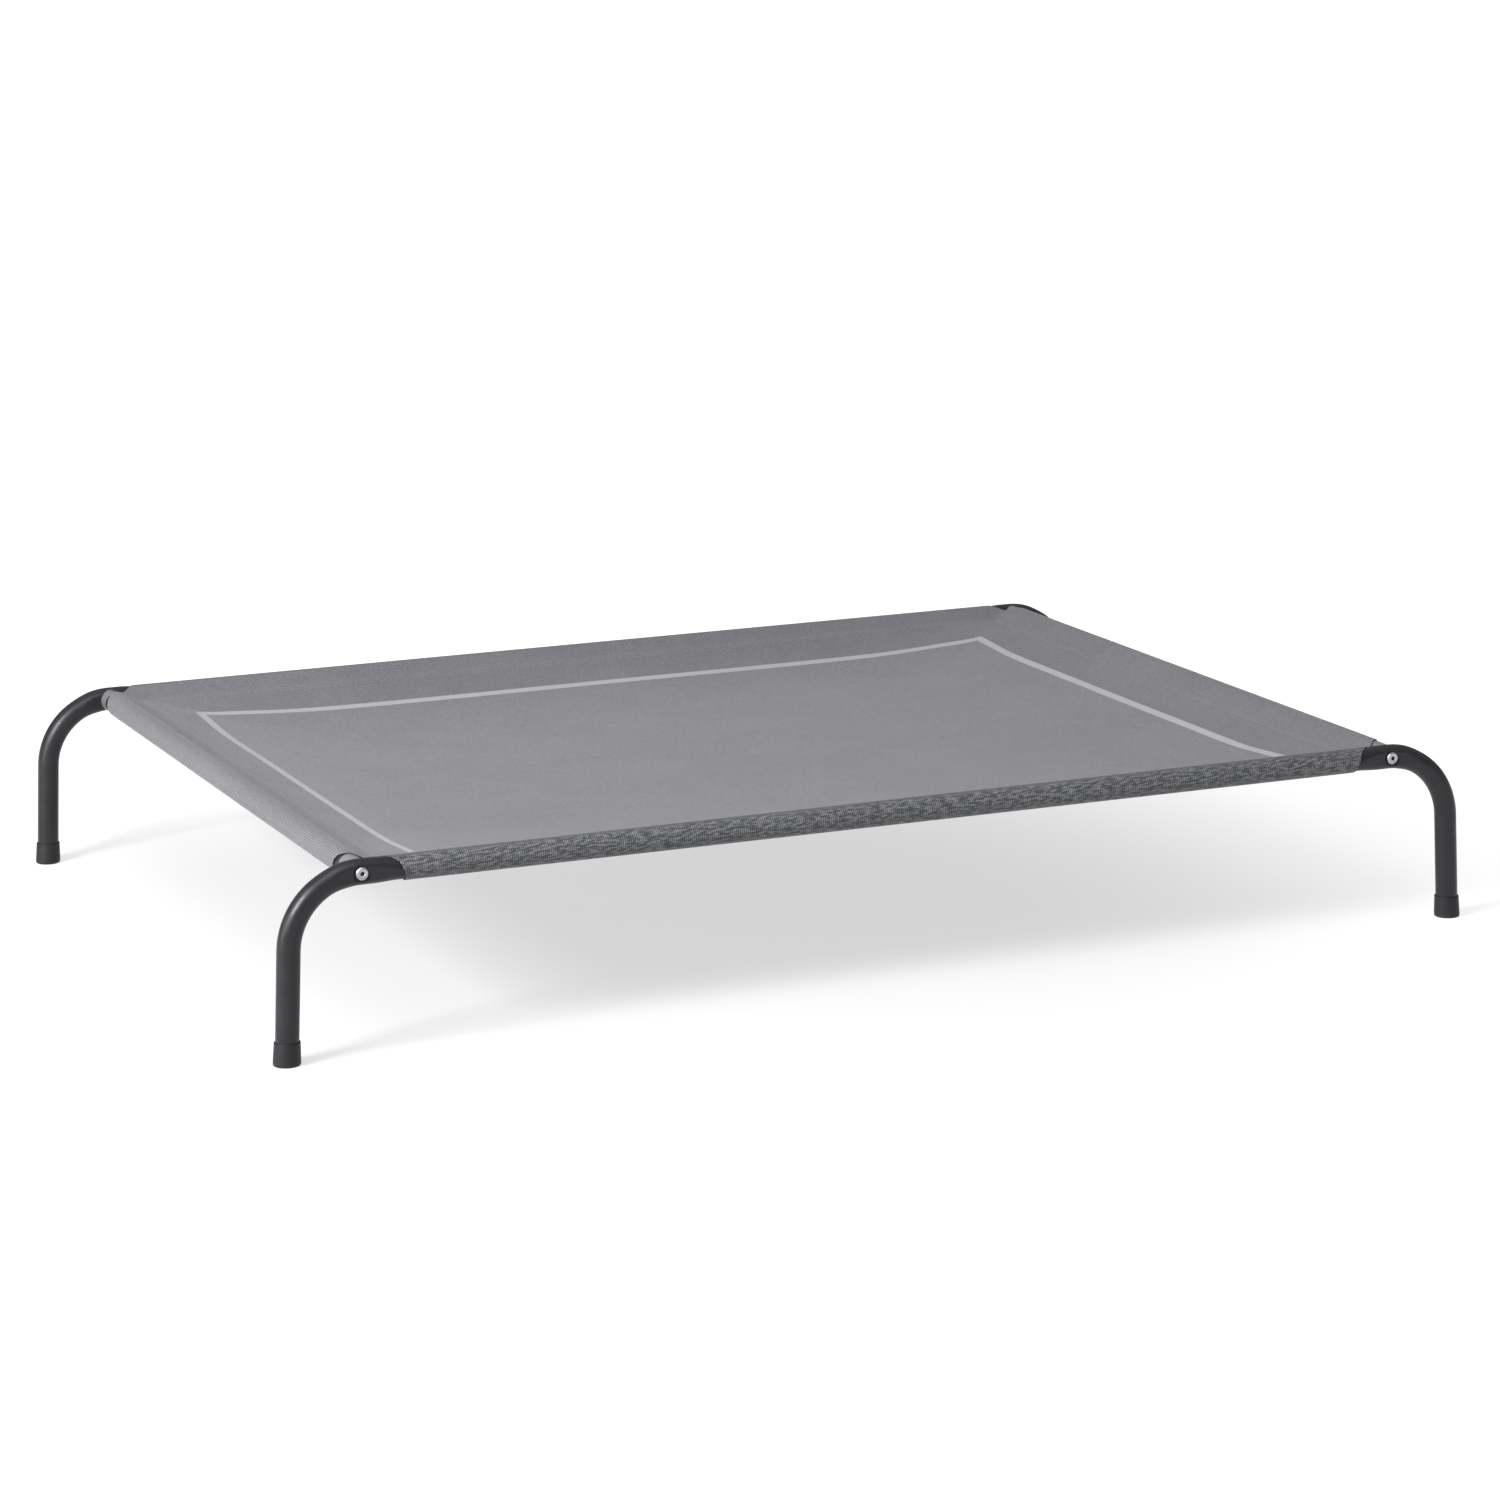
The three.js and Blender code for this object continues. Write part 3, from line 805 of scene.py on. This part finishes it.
def rubber_material():
    """Matt black rubber with a fine moulded texture and pale scuffs low down."""
    rubber = Shader("foot_rubber", ior=1.5, specular_ior_level=0.34)
    position = rubber.position()
    height = rubber.add("ShaderNodeSeparateXYZ", (position,)).outputs[2]
    grain = rubber.noise(position, 1500, 3.0, 0.7)
    scuff = rubber.noise(rubber.stretch(position, (90.0, 90.0, 400.0)), 1.0, 4.0, 0.7)
    low = rubber.step(height, 0.5 * MM, 7 * MM, 0.5, 0.0)
    scuffed = rubber.math("MULTIPLY", low, rubber.step(scuff, 0.45, 0.7))
    colour = rubber.blend(grain, grey(18, 18, 21), grey(31, 31, 35))
    rubber.link(rubber.blend(scuffed, colour, grey(58, 57, 59)), "Base Color")
    rubber.link(rubber.step(grain, 0.3, 0.7, 0.45, 0.6), "Roughness")
    rubber.bump((grain, 0.06 * MM), (scuff, 0.05 * MM))
    return rubber.material


def zinc_material():
    """Bright zinc plate over pressed steel, mottled and finely scratched."""
    zinc = Shader("zinc_plate", metallic=1.0)
    position = zinc.position()
    mottle = zinc.noise(position, 420, 3.0, 0.6)
    scratch = zinc.noise(zinc.stretch(position, (900.0, 900.0, 5200.0)), 1.0, 2.0, 0.7)
    zinc.link(zinc.blend(mottle, grey(148, 149, 152), grey(200, 200, 202)), "Base Color")
    zinc.link(zinc.step(zinc.math("ADD", mottle, scratch), 0.6, 1.4, 0.28, 0.46), "Roughness")
    zinc.bump((scratch, 0.02 * MM), (mottle, 0.05 * MM))
    return zinc.material


def socket_shade_material():
    """Oily steel at the bottom of a socket, darkened with painted shade for the deep recess."""
    socket = Shader("socket_steel_shade", metallic=1.0)
    oil = socket.noise(socket.position(), 700, 2.0)
    socket.link(socket.blend(oil, grey(44, 44, 46), grey(78, 78, 80)), "Base Color")
    socket.link(socket.step(oil, 0.3, 0.7, 0.35, 0.6), "Roughness")
    return socket.material


def floor_material():
    """Pale, evenly lit studio floor. Part of its light is its own, which keeps the shadows pale, and that
    part grows where the lamps no longer reach."""
    floor = Shader("studio_floor", roughness=0.9, specular_ior_level=0.1)
    position = floor.position()
    tone = floor.noise(position, 2.5, 3.0)
    floor.link(floor.blend(tone, (0.265, 0.265, 0.265, 1), (0.275, 0.275, 0.275, 1)), "Base Color")
    lit_middle = (-0.25, -0.15, 0.0)
    away = floor.add("ShaderNodeVectorMath", (position, lit_middle), operation="DISTANCE").outputs["Value"]
    floor.link(floor.step(away, 0.45, 1.5, 0.61, 0.95), "Emission Strength")
    floor.surface.inputs["Emission Color"].default_value = (1, 1, 1, 1)
    return floor.material


# ---------------------------------------------------------------- studio

def make_floor():
    mesh = bpy.data.meshes.new("studio_floor")
    half = 60  # metres, far enough for its edge to lie on the horizon
    corners = [(-half, -half, 0), (half, -half, 0), (half, half, 0), (-half, half, 0)]
    mesh.from_pydata(corners, [], [(0, 1, 2, 3)])
    mesh.materials.append(floor_material())
    floor = bpy.data.objects.new("studio_floor", mesh)
    bpy.context.scene.collection.objects.link(floor)


def add_light(name, azimuth, elevation, distance, size, power):
    """A square soft light aimed at the bed, its azimuth anticlockwise from +X."""
    turn, rise = math.radians(azimuth), math.radians(elevation)
    away = Vector((math.cos(turn) * math.cos(rise), math.sin(turn) * math.cos(rise), math.sin(rise)))
    light = bpy.data.lights.new(name, "AREA")
    light.size = size
    light.energy = power
    lamp = bpy.data.objects.new(name, light)
    lamp.location = away * distance + Vector((0, 0, RAIL_Z / 2))
    lamp.rotation_mode = "QUATERNION"
    lamp.rotation_quaternion = away.to_track_quat("Z", "Y")
    bpy.context.scene.collection.objects.link(lamp)


def make_world():
    """A soft room that is brighter overhead than at eye level, and plain white to the camera."""
    world = bpy.data.worlds.new("studio_world")
    world.use_nodes = True
    nodes, links = world.node_tree.nodes, world.node_tree.links
    direction = nodes.new("ShaderNodeTexCoord").outputs["Generated"]
    split = nodes.new("ShaderNodeSeparateXYZ")
    links.new(direction, split.inputs[0])
    strength = nodes.new("ShaderNodeMapRange")
    for name, value in (("From Min", 0.0), ("From Max", 1.0), ("To Min", 0.25), ("To Max", 0.62)):
        strength.inputs[name].default_value = value
    links.new(split.outputs[2], strength.inputs[0])
    seen = nodes.new("ShaderNodeMath")
    seen.operation = "MAXIMUM"
    links.new(strength.outputs[0], seen.inputs[0])
    links.new(nodes.new("ShaderNodeLightPath").outputs["Is Camera Ray"], seen.inputs[1])
    background = nodes["Background"]
    background.inputs["Color"].default_value = (1, 1, 1, 1)
    links.new(seen.outputs[0], background.inputs["Strength"])
    bpy.context.scene.world = world


def make_studio():
    make_floor()
    add_light("key_light", azimuth=202, elevation=30, distance=4.5, size=1.2, power=265)
    add_light("top_light", azimuth=225, elevation=58, distance=2.6, size=1.2, power=20)
    add_light("side_light", azimuth=184, elevation=9, distance=3.0, size=0.9, power=18)
    make_world()
    bpy.context.scene.view_settings.view_transform = "Standard"


def make_camera():
    """A long lens from above the front left of the bed."""
    camera = bpy.data.cameras.new("photo_camera")
    camera.lens = CAMERA_LENS
    camera.sensor_width = 36
    level = Vector((math.cos(CAMERA_YAW), math.sin(CAMERA_YAW), 0))
    ahead = Vector((-math.sin(CAMERA_YAW), math.cos(CAMERA_YAW), 0))
    forward = ahead * math.cos(CAMERA_PITCH) + Vector((0, 0, math.sin(CAMERA_PITCH)))
    right = level * math.cos(CAMERA_ROLL) + level.cross(forward) * math.sin(CAMERA_ROLL)
    up = right.cross(forward)
    placed = bpy.data.objects.new("photo_camera", camera)
    placed.matrix_world = Matrix((right, up, -forward)).transposed().to_4x4()
    placed.location = CAMERA_PLACE
    bpy.context.scene.collection.objects.link(placed)
    bpy.context.scene.camera = placed


# ---------------------------------------------------------------- the bed

def make_rails(tube):
    """The two long rails run along X and the two short rails along Y, each between its CAD node's ends."""
    for side, y in (("front", -HALF_Y), ("back", HALF_Y)):
        low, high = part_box(f"long_rail_{side}")
        start, end = Vector((low.x, y, RAIL_Z)), Vector((high.x, y, RAIL_Z))
        make_rail(f"rail_tube_{side}", f"long_rail_{side}", start, end, tube)
    for side, x in (("left", -HALF_X), ("right", HALF_X)):
        low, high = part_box(f"short_rail_{side}")
        start, end = Vector((x, low.y, RAIL_Z)), Vector((x, high.y, RAIL_Z))
        make_rail(f"rail_tube_{side}", f"short_rail_{side}", start, end, tube)


def make_frame():
    tube, plastic = tube_material(), plastic_material()
    rubber, zinc, painted_socket_shade = rubber_material(), zinc_material(), socket_shade_material()
    for corner in CORNERS:
        make_leg(corner, tube)
        make_saddle(corner, plastic)
        make_bolt(corner, zinc, painted_socket_shade)
        make_foot(corner, rubber)
        for material_slot in frame["nodes"][f"nut_{corner}"].material_slots:
            material_slot.material = zinc
    make_rails(tube)


def make_cloth():
    sling, flat_area = make_sling(mesh_material())
    thread = thread_material()
    rows = [make_stitches(f"stitch_row_{where}_{number}", inset, where == "top", thread)
            for where in ("top", "under") for number, inset in enumerate(STITCH_INSETS, 1)]


make_camera()
make_studio()
make_frame()
make_cloth()
